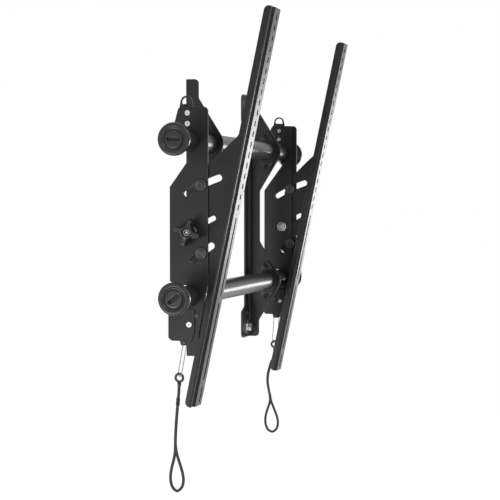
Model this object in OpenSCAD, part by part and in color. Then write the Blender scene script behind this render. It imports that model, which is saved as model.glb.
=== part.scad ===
// Tilting wall mount for a flat screen: two wall brackets, two round cross tubes,
// two hook-on hangers and two slotted rails that tilt about a point in front of them.
// The wall is the plane Y = 0, the room is towards -Y, and Z = 0 is midway between the tubes.

/* [Layout] */
// Distance from the wall to the centre line of the tubes
wall_gap = 42; // [41:1:56]
// Vertical distance between the two tubes
tube_pitch = 275; // [260:1:300]
// Distance between the arms of the two wall brackets
stud_pitch = 406.4; // [380:0.1:440]
// Distance between the two tilting rails, measured at their webs
hanger_pitch = 622; // [600:1:680]

/* [Wall bracket] */
// Sheet thickness of the wall brackets
bracket_t = 3; // [2.5:0.5:4]
// Overall height of a wall bracket
bracket_h = 514; // [500:1:560]
// Depth of the tab at each end of an arm
tab_d = 24; // [20:1:28]
// Height of the straight front edge of each end tab
tab_h = 35; // [30:1:40]
// Depth of an arm between its two lobes
waist_d = 26; // [22:1:30]
// Height of the straight front edge between the lobes
waist_h = 108; // [80:1:120]
// Radius of the lobe round a tube
lobe_r = 30; // [28:0.5:33]
// Width of the flange that lies on the wall
flange_w = 33; // [28:1:38]
// Width of the wide foot at each end of the flange
foot_w = 56; // [48:1:60]
// Height of the wide foot
foot_h = 66; // [62:1:80]
// Radius of the stiffening bead on the flange
bead_r = 1.6; // [1:0.1:2]
// Diameter of the holes for the wall screws
wall_hole_d = 9; // [9:0.5:11]
// Height of the free wall holes above and below the middle
wall_hole_z = 206; // [198:1:212]
// Distance of the wall holes from the bend of the flange
wall_hole_in = 19.7; // [18:0.1:22]
// Height of the anchor bolts above and below the middle
anchor_z = 236; // [230:1:240]

/* [Tubes and caps] */
// Outer diameter of the tubes
tube_d = 38; // [34:0.5:40]
// Wall of the tubes
tube_wall = 2; // [1.5:0.5:3]
// Length of the tubes
tube_len = 776; // [750:1:900]
// Diameter of the end caps
cap_d = 58; // [52:1:62]
// Thickness of the head of an end cap
cap_t = 9.6; // [8:0.1:12]
// Length of the plug of an end cap inside the tube
plug_len = 14; // [8:1:24]
// Length of the coin slot in an end cap
coin_len = 24; // [18:1:26]
// Width of the coin slot in an end cap
coin_w = 5.6; // [3:0.1:6]

/* [Tube collars] */
// Outer radius of the ring of a collar
collar_r = 24; // [22:0.5:26]
// Thickness of the diamond plate of a collar
collar_t = 4; // [3:0.5:5]
// Height of the ring of a collar above its plate
collar_ring_h = 5; // [3:0.5:8]
// Distance of the collar screws above and below the tube's centre
collar_screw_z = 34; // [32:0.5:36]
// Shank diameter of the collar screws
collar_screw_d = 5.8; // [4:0.1:6]

/* [Hanger] */
// Sheet thickness of the hanger and its guide plate
plate_t = 3; // [2.5:0.5:3.5]
// Distance from the tubes' centre line to the front edge of the hanger
hanger_front = 36.5; // [34:0.5:38]
// Distance from the tubes' centre line to the back edge of the hanger
hanger_back = 35; // [33:0.5:36]
// Distance from the tubes' centre line to the front edge of the guide plate
guide_front = 27.5; // [24:0.5:27.5]
// Height of the hanger above the upper tube's centre
hanger_top = 60; // [56:0.5:64]
// Depth of the hanger below the lower tube's centre
hanger_bottom = 79; // [76:0.5:82]
// Radius of the hole of the lifting eye
eye_hole_r = 8; // [6:0.5:8.5]
// Width of the ring of the lifting eye
eye_ring = 3; // [1.5:0.1:3]
// Radius of the bright rivets below the lifting eye and in the latch
bright_r = 3; // [2.5:0.1:3.2]
// Radius of the heads of the bright rivets
bright_head_r = 4.8; // [4.5:0.1:5.2]
// Radius of the black rivet that holds the two plates apart
rivet_r = 2.5; // [2:0.1:3]

/* [Tilt] */
// Forward lean of the rails as drawn
tilt_rest = 11.9; // [9:0.1:13]
// Travel of the rails back towards upright
tilt_travel = 11; // [6:0.5:11]
// Distance of the tilt centre in front of the tubes' centre line
pivot_fwd = 150; // [146:1:156]
// Distance of the tilt centre below the middle
pivot_drop = 215; // [208:1:222]
// Width of the slots that the tilt pins slide in
pin_slot_w = 12; // [10:0.5:13]
// Diameter of the heads of the tilt pins
pin_head_d = 22; // [18:0.5:24]
// Part of the tilt that the pins make in the hanger's own slots
hanger_share = 6; // [5:0.1:7]
// Shank diameter of the tension bolt
bolt_d = 8; // [6:0.5:8]

/* [Rail] */
// Length of the rails
rail_len = 723; // [700:1:760]
// Width of the rails
rail_w = 56; // [50:1:60]
// Depth of the flanges of the rails
rail_depth = 12; // [10:0.5:12]
// Sheet thickness of the rails
rail_t = 3; // [2.5:0.5:3]
// Distance from the tubes' centre line to the front of an upright rail
rail_front = 30.6; // [30.5:0.1:32.5]
// Height of the raised band on the front of a rail
band_h = 3.5; // [2:0.5:5]
// Width of the raised band
band_w = 38; // [32:1:40]
// Distance of the raised band from the outer side of the rail
band_in = 14; // [12:0.5:15]
// Width of the screw slots in a rail
slot_w = 6.4; // [5:0.1:9]
// Length of the short screw slots
slot_len = 11; // [10:0.5:14]
// Distance from one short slot to the next
slot_step = 19; // [17:0.5:19]
// Number of short slots
slot_count = 19; // [4:1:19]
// Distance from the top end of a rail to the first short slot
slot_top = 10; // [8:1:14]
// Length of the long screw slots
long_len = 144; // [100:2:144]
// Sheet left between two long slots
long_gap = 11.5; // [9:0.5:12]

/* [Knob] */
// Radius of the star knob
knob_r = 24; // [20:0.5:26]
// Height of the arms of the star knob
knob_h = 20; // [14:1:24]
// Height of the neck of the star knob
knob_neck_h = 7; // [4:1:12]
// Radius of the hollows between the arms
knob_hollow_r = 14; // [12:0.5:17]

/* [Latch and pull cord] */
// Sheet thickness of the latch
latch_t = 2; // [1.5:0.5:2.5]
// Downward travel of the latch
latch_travel = 16; // [10:1:16]
// Diameter of the wire of the latch spring
spring_wire = 1.1; // [0.8:0.1:1.4]
// Outer diameter of the latch spring
spring_d = 7; // [6:0.1:8]
// Diameter of the pull wire
wire_d = 1.6; // [1.2:0.1:2]
// Outer diameter of the eye at the top of the cord
cord_eye_d = 18.4; // [17:0.1:20]
// Thickness of the eye at the top of the cord
cord_eye_t = 4.4; // [4:0.1:5]
// Diameter of the pull cord
cord_d = 5.4; // [4:0.1:5.4]

/* [Clearances] */
// Gap beside a sheet that slides between or over others
slide_gap = 0.4; // [0.3:0.05:0.5]
// Radial gap of a shank or tube in the hole that holds it
fit_gap = 0.05; // [0.03:0.01:0.08]
// Radial gap of a part that slides or turns freely
free_gap = 0.3; // [0.3:0.05:0.4]

/* [Hidden] */
$fn = 96;

black_steel = [0.10, 0.10, 0.105];
rail_steel = [0.14, 0.14, 0.145];
black_plastic = [0.07, 0.07, 0.075];
tube_steel = [0.22, 0.22, 0.23];
bright_steel = [0.78, 0.79, 0.80];
cord_black = [0.06, 0.06, 0.06];

tube_r = tube_d / 2;
tube_y = -wall_gap;
tube_z = tube_pitch / 2;
hook_r = tube_r + free_gap;

// The arm of the right wall bracket, from its inner to its outer face
arm_in = stud_pitch / 2 - bracket_t / 2;
arm_out = arm_in + bracket_t;
wall_hole_x = arm_out - wall_hole_in;

// The layers of the right hanger, from the middle of the mount outwards
web_in = hanger_pitch / 2 - plate_t / 2;
web_out = web_in + plate_t;
guide_out = web_in - slide_gap;
guide_in = guide_out - plate_t;
outer_in = web_out + slide_gap;
outer_out = outer_in + plate_t;
cheek_in = guide_in - slide_gap - latch_t;
cheek_out = outer_out + slide_gap;
saddle_w = cheek_out + latch_t - cheek_in;
layer_mid = (guide_in + outer_out) / 2;

// The tilt centre, and the pins and the bolt as distance and angle about it
pivot = [tube_y - pivot_fwd, -pivot_drop];
upper_pin = [tube_y - 23.2, 59.1];
lower_pin = [tube_y - 23.2, -61.5];
bolt_at = [tube_y - 5, -24];
pin_play = 0.4;
web_share = tilt_travel - hanger_share + 1.6;
bolt_slot_w = bolt_d + 1;

// Points given from the tubes' centre line: towards the wall is positive
bright_at = [[tube_y + 1.2, tube_z + 49.5], [tube_y + 1.2, tube_z + 30.5]];
eye_at = [tube_y + 3.5, tube_z + 69];
latch_rivet_at = [tube_y - 2, -tube_z - 50.5];
rivet_at = [tube_y - 15.5, -tube_z - 34.5];
guide_pin_at = [tube_y + 14, -tube_z - 44.5];
guide_pin_r = 2.9;
pull_pin_at = [tube_y + 8, -tube_z - 83.3];
pull_pin_r = 1.8;
spring_top = [tube_y + 27, -tube_z + 36];
spring_low = [tube_y + 27, -tube_z - 14];
spring_post_r = 2;
spring_x = cheek_in - 0.8 - spring_d / 2;

// The lean of each pull wire, and the turn of its loop about its own length
wire_lean_left = 10;
wire_lean_right = 4;
wire_turn = 42;
wire_half = 6.2;
wire_len = 52;
eye_sag = 1.3;

// Points of each cord from the eye down, round the hand loop and back up beside itself,
// in Y and Z, with the step sideways that takes the way back off the way down
cord_route_left = [
    [-22.9, -290, 0], [-22.4, -300, 0], [-21.6, -312, 0], [-20.4, -326, 0], [-19, -342, 0],
    [-17.6, -358, 0], [-16.4, -374, 0], [-15.6, -390, 0], [-15.4, -404, 0], [-17, -417, 0],
    [-20.6, -430, 0], [-25, -443, 0], [-28.6, -456, 0.6], [-29.8, -469, 1.4], [-26.6, -481, 2],
    [-18, -488.4, 2.4], [-9.6, -483.6, 2.8], [-5.2, -472.5, 3.2], [-4.8, -459.5, 3.6],
    [-7, -446, 4.2], [-10.4, -432.5, 4.8], [-12.6, -419, 5.4], [-13, -404, 5.6],
    [-13.4, -389, 5.6], [-14.2, -374, 5.6], [-15.4, -358, 5.6], [-16.8, -342, 5.6],
    [-18.2, -328, 5.6], [-19, -318, 5.6]
];
cord_route_right = [
    [-30.2, -290, 0], [-29.6, -299, 0], [-27, -311, 0], [-22, -326, 0], [-17.2, -341, 0],
    [-14, -356, 0], [-13.6, -371, 0], [-16, -386, 0], [-19, -400, 0], [-22, -413, 0],
    [-26.6, -425, 0], [-31.4, -437, 0], [-35.4, -449, 0.6], [-36.8, -461, 1.4], [-33.6, -473, 2],
    [-24.4, -480.6, 2.4], [-14, -476.6, 2.8], [-8.2, -465.5, 3.2], [-7.2, -452.5, 3.6],
    [-9.4, -439, 4.2], [-13.8, -425.5, 4.8], [-17.4, -412.5, 5.4], [-16.6, -399, 5.6],
    [-13.8, -385, 5.6], [-11.6, -371, 5.6], [-12, -355, 5.6], [-15.4, -340, 5.6],
    [-20, -327, 5.6], [-23.6, -318, 5.6]
];

function unit(v) = v / norm(v);
function heading(v) = atan2(v[1], v[0]);
function on_circle(c, r, a) = c + r * [cos(a), sin(a)];
function turn_about(c, p, a) = let (d = p - c)
    c + [d[0] * cos(a) - d[1] * sin(a), d[0] * sin(a) + d[1] * cos(a)];

// Point where a line from e touches the circle, on the side given by s
function tangent(e, c, r, s) = on_circle(c, r, heading(e - c) + s * acos(r / norm(e - c)));

// Arc that rounds the corner b between its neighbours a and c
function rounded_corner(a, b, c, r, n = 6) = let (
    u = unit(a - b),
    v = unit(c - b),
    half = acos(u * v) / 2,
    o = b + unit(u + v) * r / sin(half),
    a0 = heading(b + u * r / tan(half) - o),
    a1 = heading(b + v * r / tan(half) - o),
    sweep = (a1 - a0 + 540) % 360 - 180
) [for (i = [0:n]) on_circle(o, r, a0 + sweep * i / n)];

// Outline whose points are [y, z, corner radius]
function outline(pts) = let (n = len(pts)) [
    for (i = [0:n - 1]) let (
        a = pts[(i + n - 1) % n],
        b = pts[i],
        c = pts[(i + 1) % n]
    ) each (b[2] > 0
        ? rounded_corner([a[0], a[1]], [b[0], b[1]], [c[0], c[1]], b[2])
        : [[b[0], b[1]]])
];

// Smooth curve through the points of a cord's route
function spline_point(p, i, t) = let (
    n = len(p),
    a = p[max(i - 1, 0)],
    b = p[i],
    c = p[min(i + 1, n - 1)],
    d = p[min(i + 2, n - 1)]
) 0.5 * (2 * b + (c - a) * t + (2 * a - 5 * b + 4 * c - d) * t * t
    + (3 * b - a - 3 * c + d) * t * t * t);

// Sheet that stands upright, drawn in Y and Z, from x0 outwards
module sheet(x0, t) {
    translate([x0, 0, 0]) rotate([90, 0, 90]) linear_extrude(t) children();
}

// Round bar along X at a point given in Y and Z
module bar(x0, x1, at, r) {
    translate([x0, at[0], at[1]]) rotate([0, 90, 0]) cylinder(h = x1 - x0, r = r);
}

// Hexagonal bar along X at a point given in Y and Z
module hex_bar(x0, x1, at, r) {
    translate([x0, at[0], at[1]]) rotate([0, 90, 0]) cylinder(h = x1 - x0, r = r, $fn = 6);
}

// Curved slot about the tilt centre, from angle a0 to a1
module arc_slot(x0, t, radius, a0, a1, w) {
    translate([x0, pivot[0], pivot[1]]) rotate([90, 0, 90]) {
        rotate([0, 0, a0]) rotate_extrude(angle = a1 - a0) translate([radius - w / 2, 0]) square([w, t]);
        for (a = [a0, a1]) rotate([0, 0, a]) translate([radius, 0, 0]) cylinder(h = t, d = w);
    }
}

module arm_outline() {
    h = bracket_h / 2;
    shoulder = [-tab_d, h - tab_h];
    hip = [-waist_d, waist_h / 2];
    lobe = [tube_y, tube_z];
    upper = tangent(shoulder, lobe, lobe_r, 1);
    lower = tangent(hip, lobe, lobe_r, -1);
    polygon(outline([
        [0, h, 0], [-tab_d, h, 8], [shoulder[0], shoulder[1], 12],
        [upper[0], upper[1], 0], [lower[0], lower[1], 0], [hip[0], hip[1], 14],
        [hip[0], -hip[1], 14], [lower[0], -lower[1], 0], [upper[0], -upper[1], 0],
        [shoulder[0], -shoulder[1], 12], [-tab_d, -h, 8], [0, -h, 0]
    ]));
    for (s = [-1, 1]) translate([tube_y, s * tube_z]) circle(r = lobe_r);
}

module flange_outline() {
    h = bracket_h / 2;
    narrow = arm_out - flange_w;
    wide = arm_out - foot_w;
    polygon(outline([
        [arm_out, h, 0], [wide, h, 12], [wide, h - foot_h + 10, 5], [narrow, h - foot_h, 5],
        [narrow, foot_h - h, 5], [wide, foot_h - h - 10, 5], [wide, -h, 12], [arm_out, -h, 0]
    ]));
}

// Round hole through the wall flange
module wall_hole(z) {
    translate([wall_hole_x, 1, z]) rotate([90, 0, 0]) cylinder(h = bracket_t + 2, d = wall_hole_d);
}

module wall_bracket() color(black_steel) difference() {
    union() {
        sheet(arm_in, bracket_t) arm_outline();
        rotate([90, 0, 0]) linear_extrude(bracket_t) flange_outline();
        translate([arm_in, -bracket_t, -bracket_h / 2]) linear_extrude(bracket_h) difference() {
            translate([-bracket_t, -bracket_t]) square(bracket_t);
            translate([-bracket_t, -bracket_t]) circle(r = bracket_t);
        }
        translate([wall_hole_x + 10, -bracket_t, foot_h - bracket_h / 2])
            cylinder(h = bracket_h - 2 * foot_h, r = bead_r);
    }
    for (s = [-1, 1]) {
        bar(arm_in - 1, arm_out + 1, [tube_y, s * tube_z], tube_r + free_gap);
        for (k = [-1, 1])
            bar(arm_in - 1, arm_out + 1, [tube_y, s * tube_z + k * collar_screw_z],
                collar_screw_d / 2 + fit_gap);
        wall_hole(s * wall_hole_z);
        wall_hole(s * anchor_z);
    }
}

// Diamond plate of a collar, drawn about the tube's centre
module diamond() {
    boss_r = collar_screw_d / 2 + 5;
    lean = acos((collar_r - boss_r) / collar_screw_z);
    circle(r = collar_r);
    for (s = [-1, 1]) {
        translate([0, s * collar_screw_z]) circle(r = boss_r);
        polygon([for (k = [-1, 1], big = k < 0 ? [true, false] : [false, true])
            let (a = s * (90 + k * lean))
            big ? on_circle([0, 0], collar_r, a) : on_circle([0, s * collar_screw_z], boss_r, a)]);
    }
}

module collar(s) color(black_plastic) difference() {
    union() {
        sheet(arm_in - collar_t, collar_t) translate([tube_y, s * tube_z]) diamond();
        bar(arm_in - collar_t - collar_ring_h, arm_in, [tube_y, s * tube_z], collar_r - 1);
    }
    bar(arm_in - collar_t - collar_ring_h - 1, arm_in + 1, [tube_y, s * tube_z], tube_r + fit_gap);
    for (k = [-1, 1])
        bar(arm_in - collar_t - 1, arm_in + 1, [tube_y, s * tube_z + k * collar_screw_z],
            collar_screw_d / 2 + fit_gap);
}

// Button-head screw with a hexagonal socket, its head towards the middle of the mount
module button_screw(at, shank_r, head_r, head_h, x_seat, x_end) {
    difference() {
        union() {
            bar(x_seat, x_end, at, shank_r);
            translate([x_seat, at[0], at[1]]) rotate([0, -90, 0]) rotate_extrude() polygon([
                [0, 0], [head_r, 0], [head_r, head_h * 0.3], [head_r * 0.86, head_h * 0.75],
                [head_r * 0.6, head_h], [0, head_h]
            ]);
        }
        hex_bar(x_seat - head_h - 1, x_seat - head_h * 0.35, at, head_r * 0.5);
    }
}

module collar_screws() color(black_steel) {
    for (s = [-1, 1], k = [-1, 1])
        button_screw([tube_y, s * tube_z + k * collar_screw_z], collar_screw_d / 2,
            collar_screw_d / 2 + 3, 4, arm_in - collar_t, arm_out);
}

// Hexagon bolt and washer that clamp the bracket to the wall
module anchor_bolts() color(bright_steel) {
    washer_t = 2;
    head_h = 8;
    shank_r = (wall_hole_d - 1) / 2;
    for (s = [-1, 1]) translate([wall_hole_x, -bracket_t, s * anchor_z]) rotate([90, 0, 0]) {
        cylinder(h = washer_t, r = 15);
        translate([0, 0, washer_t]) cylinder(h = head_h, r = 8.7, $fn = 6);
        translate([0, 0, -bracket_t]) cylinder(h = bracket_t, r = shank_r);
    }
}

module tube(s) color(tube_steel) difference() {
    bar(-tube_len / 2, tube_len / 2, [tube_y, s * tube_z], tube_r);
    bar(-tube_len / 2 - 1, tube_len / 2 + 1, [tube_y, s * tube_z], tube_r - tube_wall);
}

// Turned end cap: dished head with a coin slot, and a plug inside the tube
module end_cap(s, slot_turn) color(black_plastic) {
    plug_r = tube_r - tube_wall - fit_gap;
    rim = cap_d / 2;
    dish = rim * 0.72;
    disc = rim * 0.57;
    floor_h = cap_t - 2.6;
    translate([tube_len / 2, tube_y, s * tube_z]) rotate([0, 90, 0]) difference() {
        rotate_extrude() polygon(concat(
            [[0, -plug_len], [plug_r - 1, -plug_len], [plug_r, -plug_len + 1], [plug_r, 0]],
            [for (a = [-90:15:0]) [rim - 2 + 2 * cos(a), 2 + 2 * sin(a)]],
            [for (a = [0:15:90]) [rim - 4 + 4 * cos(a), cap_t - 4 + 4 * sin(a)]],
            [[dish, cap_t], [dish - 0.6, cap_t - 0.3], [dish - 2, floor_h], [disc + 1, floor_h],
             [disc + 0.5, floor_h - 0.7], [disc, floor_h], [disc - 0.6, floor_h + 0.8],
             [0, floor_h + 0.8]]
        ));
        rotate([0, 0, slot_turn]) {
            translate([-coin_w / 2, coin_w / 2 - coin_len / 2, floor_h - 2.6])
                cube([coin_w, coin_len - coin_w, 6]);
            for (k = [-1, 1]) translate([0, k * (coin_len - coin_w) / 2, floor_h - 2.6])
                cylinder(h = 6, d = coin_w);
        }
    }
}

// Outline of a hanger plate: a hook over the upper tube and a mouth for the lower one
module hanger_outline(front, corner_r) {
    up = tube_z;
    low = -tube_z;
    y = tube_y;
    mouth = hook_r;
    slant_top = low + 28.5;
    foot_z = low - hanger_bottom;
    heel = [y - 17.7, low - 73.5];
    brow = [y - hanger_front, slant_top];
    cut = brow[1] + (heel[1] - brow[1]) * (y - front - brow[0]) / (heel[0] - brow[0]);
    polygon(outline([
        [y - front, up + hanger_top, corner_r], [y - 9, up + hanger_top, 5],
        [y - 5, up + 65, 0], [y + 11, up + 66, 0],
        [y + 19.3, up + 56.5, 3], [y + 25.2, up + 35, 0], [y + 31, up + 13, 4],
        [y + 22, up + 7, 2], [y, up, 0], [y - 2, up - 19.6, 0], [y - 6.3, up - 25.2, 1.5],
        [y + hanger_back, up - 81.3, 4],
        [y + hanger_back, low + 26, 2], [y + 22, low + mouth, 3], [y, low + mouth, 0],
        [y, low - mouth, 0], [y + 22, low - mouth, 3], [y + hanger_back, low - 26, 2],
        [y + hanger_back, foot_z, 3], [heel[0] + 2.2, foot_z, 8], [heel[0], heel[1], 3],
        [y - front, cut, 0]
    ]));
}

// Slots, bores and holes that the hanger and its guide plate share
module plate_cuts(x0) {
    t = plate_t + 2;
    for (p = [upper_pin, lower_pin]) let (r = norm(p - pivot), a = heading(p - pivot))
        arc_slot(x0 - 1, t, r, a - hanger_share, a + pin_play, pin_slot_w);
    bar(x0 - 1, x0 + t - 1, bolt_at, bolt_d / 2 + fit_gap);
    for (p = bright_at) bar(x0 - 1, x0 + t - 1, p, bright_r + fit_gap);
    bar(x0 - 1, x0 + t - 1, rivet_at, rivet_r + fit_gap);
    for (dz = [0, latch_travel])
        bar(x0 - 1, x0 + t - 1, latch_rivet_at - [0, dz], bright_r + free_gap);
    translate([x0 - 1, latch_rivet_at[0] - bright_r - free_gap, latch_rivet_at[1] - latch_travel])
        cube([t, 2 * (bright_r + free_gap), latch_travel]);
    bar(x0 - 1, x0 + t - 1, guide_pin_at, guide_pin_r + fit_gap);
    for (s = [-1, 1]) bar(x0 - 1, x0 + t - 1, [tube_y, s * tube_z], hook_r);
}

module hanger() color(black_steel) difference() {
    union() {
        sheet(outer_in, plate_t) hanger_outline(hanger_front, 8);
        bar(outer_in, outer_out, eye_at, eye_hole_r + eye_ring);
        sheet(outer_in, plate_t) polygon([
            eye_at + [-eye_hole_r - eye_ring, 0], eye_at + [eye_hole_r + eye_ring, 0],
            eye_at + [eye_hole_r + eye_ring + 2.5, -12], eye_at + [-eye_hole_r - eye_ring - 2.5, -12]
        ]);
    }
    plate_cuts(outer_in);
    bar(outer_in - 1, outer_out + 1, eye_at, eye_hole_r);
}

module guide_plate() color(black_steel) {
    difference() {
        sheet(guide_in, plate_t) hanger_outline(guide_front, 6);
        plate_cuts(guide_in);
    }
    bar(spring_x - 3, guide_in, spring_top, spring_post_r);
}

// Rivet with a thick middle that keeps the two plates apart
module hanger_rivet() color(black_steel) {
    head_h = 1.2;
    bar(guide_in - head_h, outer_out + head_h, rivet_at, rivet_r);
    bar(guide_out, outer_in, rivet_at, rivet_r + 0.8);
    bar(outer_out, outer_out + head_h, rivet_at, rivet_r + 1.5);
    bar(guide_in - head_h, guide_in, rivet_at, rivet_r + 1.5);
}

// Hollow bright rivet from x0 to x1 along X, with a flared head at each end
module bright_rivet(at, x0, x1) difference() {
    union() {
        bar(x0 - 1, x1 + 1.6, at, bright_r);
        bar(x1, x1 + 1.6, at, bright_head_r);
        bar(x0 - 1.4, x0, at, bright_head_r - 1);
    }
    bar(x1 - 1, x1 + 2, at, bright_r - 1.3);
    bar(x0 - 2, x0 + 1, at, bright_r - 1.6);
}

module spacer_rivets() color(bright_steel) for (p = bright_at) {
    bright_rivet(p, guide_in, outer_out);
    bar(guide_out, outer_in, p, bright_r + 2);
}

module latch_rivet() color(bright_steel) bright_rivet(latch_rivet_at, cheek_in, cheek_out + latch_t);

module latch_guide_pin() color(black_steel) {
    head_h = 1.6;
    bar(cheek_in - free_gap, outer_out, guide_pin_at, guide_pin_r);
    bar(guide_out, outer_in, guide_pin_at, guide_pin_r + 2);
    bar(cheek_in - free_gap - head_h, cheek_in - free_gap, guide_pin_at, guide_pin_r + 2.2);
}

// Folded section of a rail, drawn in X and Y for an upright rail
module rail_section() {
    front = tube_y - rail_front;
    back = front + rail_depth;
    outer = web_out;
    inner = outer - rail_w;
    band_out = outer - band_in;
    band_inn = band_out - band_w;
    slope = 1.5;
    fold = 0.5 * rail_t;
    polygon(outline([
        [outer, back, 0], [outer, front, 3], [band_out, front, 1],
        [band_out - slope, front - band_h, 1], [band_inn + slope, front - band_h, 1],
        [band_inn, front, 1], [inner, front, 3], [inner, back, 0],
        [inner + rail_t, back, 0], [inner + rail_t, front + rail_t, 0.8],
        [band_inn + fold, front + rail_t, 0.5],
        [band_inn + slope + fold, front - band_h + rail_t, 0.5],
        [band_out - slope - fold, front - band_h + rail_t, 0.5],
        [band_out - fold, front + rail_t, 0.5],
        [outer - rail_t, front + rail_t, 0.8], [outer - rail_t, back, 0]
    ]));
}

// Outline of the web of an upright rail, with its arm towards the wall
module web_outline() {
    front = tube_y - rail_front + rail_t / 2;
    back = tube_y - rail_front + rail_depth;
    y = tube_y;
    polygon(outline([
        [front, 170, 0], [back, 170, 0], [back, 127, 14], [y + 6.7, 92.3, 0], [y + 39.4, 43.5, 8],
        [y + 41.2, 21, 4], [y + 41.2, -63, 10], [y + 32, -103, 10], [y + 12, -114.5, 6],
        [y - 8, -109, 6], [back, -131, 12], [back, -170, 0], [front, -170, 0]
    ]));
}

// Round-ended slot through the front of an upright rail
module rail_slot(x, z_top, length) {
    y0 = tube_y - rail_front - band_h - 1;
    depth = band_h + rail_t + 2;
    for (z = [z_top - slot_w / 2, z_top - length + slot_w / 2])
        translate([x, y0, z]) rotate([-90, 0, 0]) cylinder(h = depth, d = slot_w);
    translate([x - slot_w / 2, y0, z_top - length + slot_w / 2])
        cube([slot_w, depth, length - slot_w]);
}

module tilt_rail() color(rail_steel) {
    rail_mid = -3.5;
    top = rail_mid + rail_len / 2;
    x_slot = web_out - band_in - band_w / 2 - 2;
    front = tube_y - rail_front;
    long_top = slot_top + slot_step * slot_count + 5;
    translate([0, pivot[0], pivot[1]]) rotate([tilt_rest, 0, 0])
    translate([0, -pivot[0], -pivot[1]]) difference() {
        union() {
            intersection() {
                translate([0, 0, top - rail_len]) linear_extrude(rail_len) rail_section();
                sheet(web_out - rail_w - 1, rail_w + 2) polygon(outline([
                    [front - band_h - 1, top, 0], [front + rail_depth, top, 9],
                    [front + rail_depth, top - rail_len, 9], [front - band_h - 1, top - rail_len, 0]
                ]));
            }
            sheet(web_in, plate_t) web_outline();
        }
        for (p = [upper_pin, lower_pin])
            let (r = norm(p - pivot), a = heading(p - pivot) - tilt_rest)
            arc_slot(web_in - 1, plate_t + 2, r, a - pin_play, a + web_share, pin_slot_w);
        let (r = norm(bolt_at - pivot), a = heading(bolt_at - pivot) - tilt_rest)
            arc_slot(web_in - 1, plate_t + 2, r, a - pin_play, a + tilt_travel + pin_play, bolt_slot_w);
        for (i = [0:slot_count - 1]) rail_slot(x_slot, top - slot_top - i * slot_step, slot_len);
        for (i = [0, 1]) rail_slot(x_slot, top - long_top - i * (long_len + long_gap), long_len);
        rail_slot(x_slot, top - long_top - 2 * (long_len + long_gap), 29.5);
    }
}

// Shouldered pin with a round head outside and a socket head inside
module tilt_pin(at, slotted) color(black_steel) {
    shank_r = pin_slot_w / 2 - free_gap;
    head_r = pin_head_d / 2;
    head_h = 3;
    x_in = guide_in - free_gap;
    x_out = outer_out + free_gap;
    difference() {
        union() {
            bar(x_in, x_out, at, shank_r);
            translate([x_out, at[0], at[1]]) rotate([0, 90, 0]) rotate_extrude() polygon([
                [0, 0], [head_r, 0], [head_r, head_h - 1], [head_r - 1, head_h],
                [head_r * 0.66, head_h], [head_r * 0.6, head_h + 1.6], [0, head_h + 1.6]
            ]);
            translate([x_in, at[0], at[1]]) rotate([0, -90, 0]) rotate_extrude() polygon([
                [0, 0], [head_r, 0], [head_r, 1.2], [head_r - 0.5, 1.7],
                [head_r * 0.6, 1.7], [head_r * 0.56, 4.6], [head_r * 0.46, 5.2], [0, 5.2]
            ]);
        }
        hex_bar(x_in - 6, x_in - 2.6, at, head_r * 0.3);
        if (slotted) translate([x_out + head_h + 0.2, at[0] - head_r, at[1] - 1.3])
            cube([3, 2 * head_r, 2.6]);
        else hex_bar(x_out + head_h - 1, x_out + head_h + 3, at, head_r * 0.3);
    }
}

// Layers of the tension knob along X, outwards from the hanger
washer_out = outer_out + 1.5;
knob_in = washer_out + free_gap;
arms_in = knob_in + knob_neck_h;
knob_out = arms_in + knob_h;
insert_in = knob_out - 6;

module tension_bolt() color(bright_steel) {
    bar(guide_in, insert_in + 2, bolt_at, bolt_d / 2);
    bar(guide_in - 1.5, guide_in, bolt_at, 10);
    hex_bar(guide_in - 7.5, guide_in - 1.5, bolt_at, 7.5);
    bar(guide_in - 10, guide_in - 7.5, bolt_at, bolt_d / 2);
}

module knob_washer() color(bright_steel) difference() {
    bar(outer_out, washer_out, bolt_at, 11);
    bar(outer_out - 1, washer_out + 1, bolt_at, bolt_d / 2 + fit_gap);
}

// Star knob with four arms and hollow sides
module tension_knob() color(black_plastic) {
    arm_turn = 17;
    difference() {
        union() {
            bar(knob_in, arms_in, bolt_at, 10);
            sheet(arms_in, knob_h) translate(bolt_at) rotate(arm_turn) difference() {
                circle(r = knob_r);
                for (a = [45:90:315]) rotate(a) translate([knob_r, 0]) circle(r = knob_hollow_r);
            }
        }
        bar(knob_in - 1, knob_out + 1, bolt_at, bolt_d / 2 + fit_gap);
        bar(insert_in + 0.5, knob_out + 1, bolt_at, 7.6);
        bar(insert_in - 1.5, knob_out + 1, bolt_at, 6);
    }
}

module knob_insert() color(bright_steel) difference() {
    bar(insert_in - 1.5, insert_in + 3.2, bolt_at, 6 - fit_gap);
    bar(insert_in - 3, insert_in + 5, bolt_at, bolt_d / 2 + fit_gap);
}

// Side of the latch: a finger behind the lower tube and an ear for the pull pin
module cheek_outline() {
    y = tube_y;
    low = -tube_z;
    back = y + hanger_back + free_gap + latch_t;
    polygon(outline([
        [y - 11.4, low - 23.5, 2], [y + 15, low - 23.5, 6], [y + 20.6, low - 14, 2],
        [y + 20.6, low - 3.5, 1.5], [y + 25, low - 3.5, 2], [back, low - 17, 2],
        [back, low - 75, 3], [y + 31, low - 80, 2], [y + 15, low - 80, 2],
        [y + 14, low - 88, 4], [y + 2, low - 88, 4], [y - 3, low - 82, 2], [y - 5, low - 80, 2],
        [y - 11.4, low - 66, 4]
    ]));
}

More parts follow.
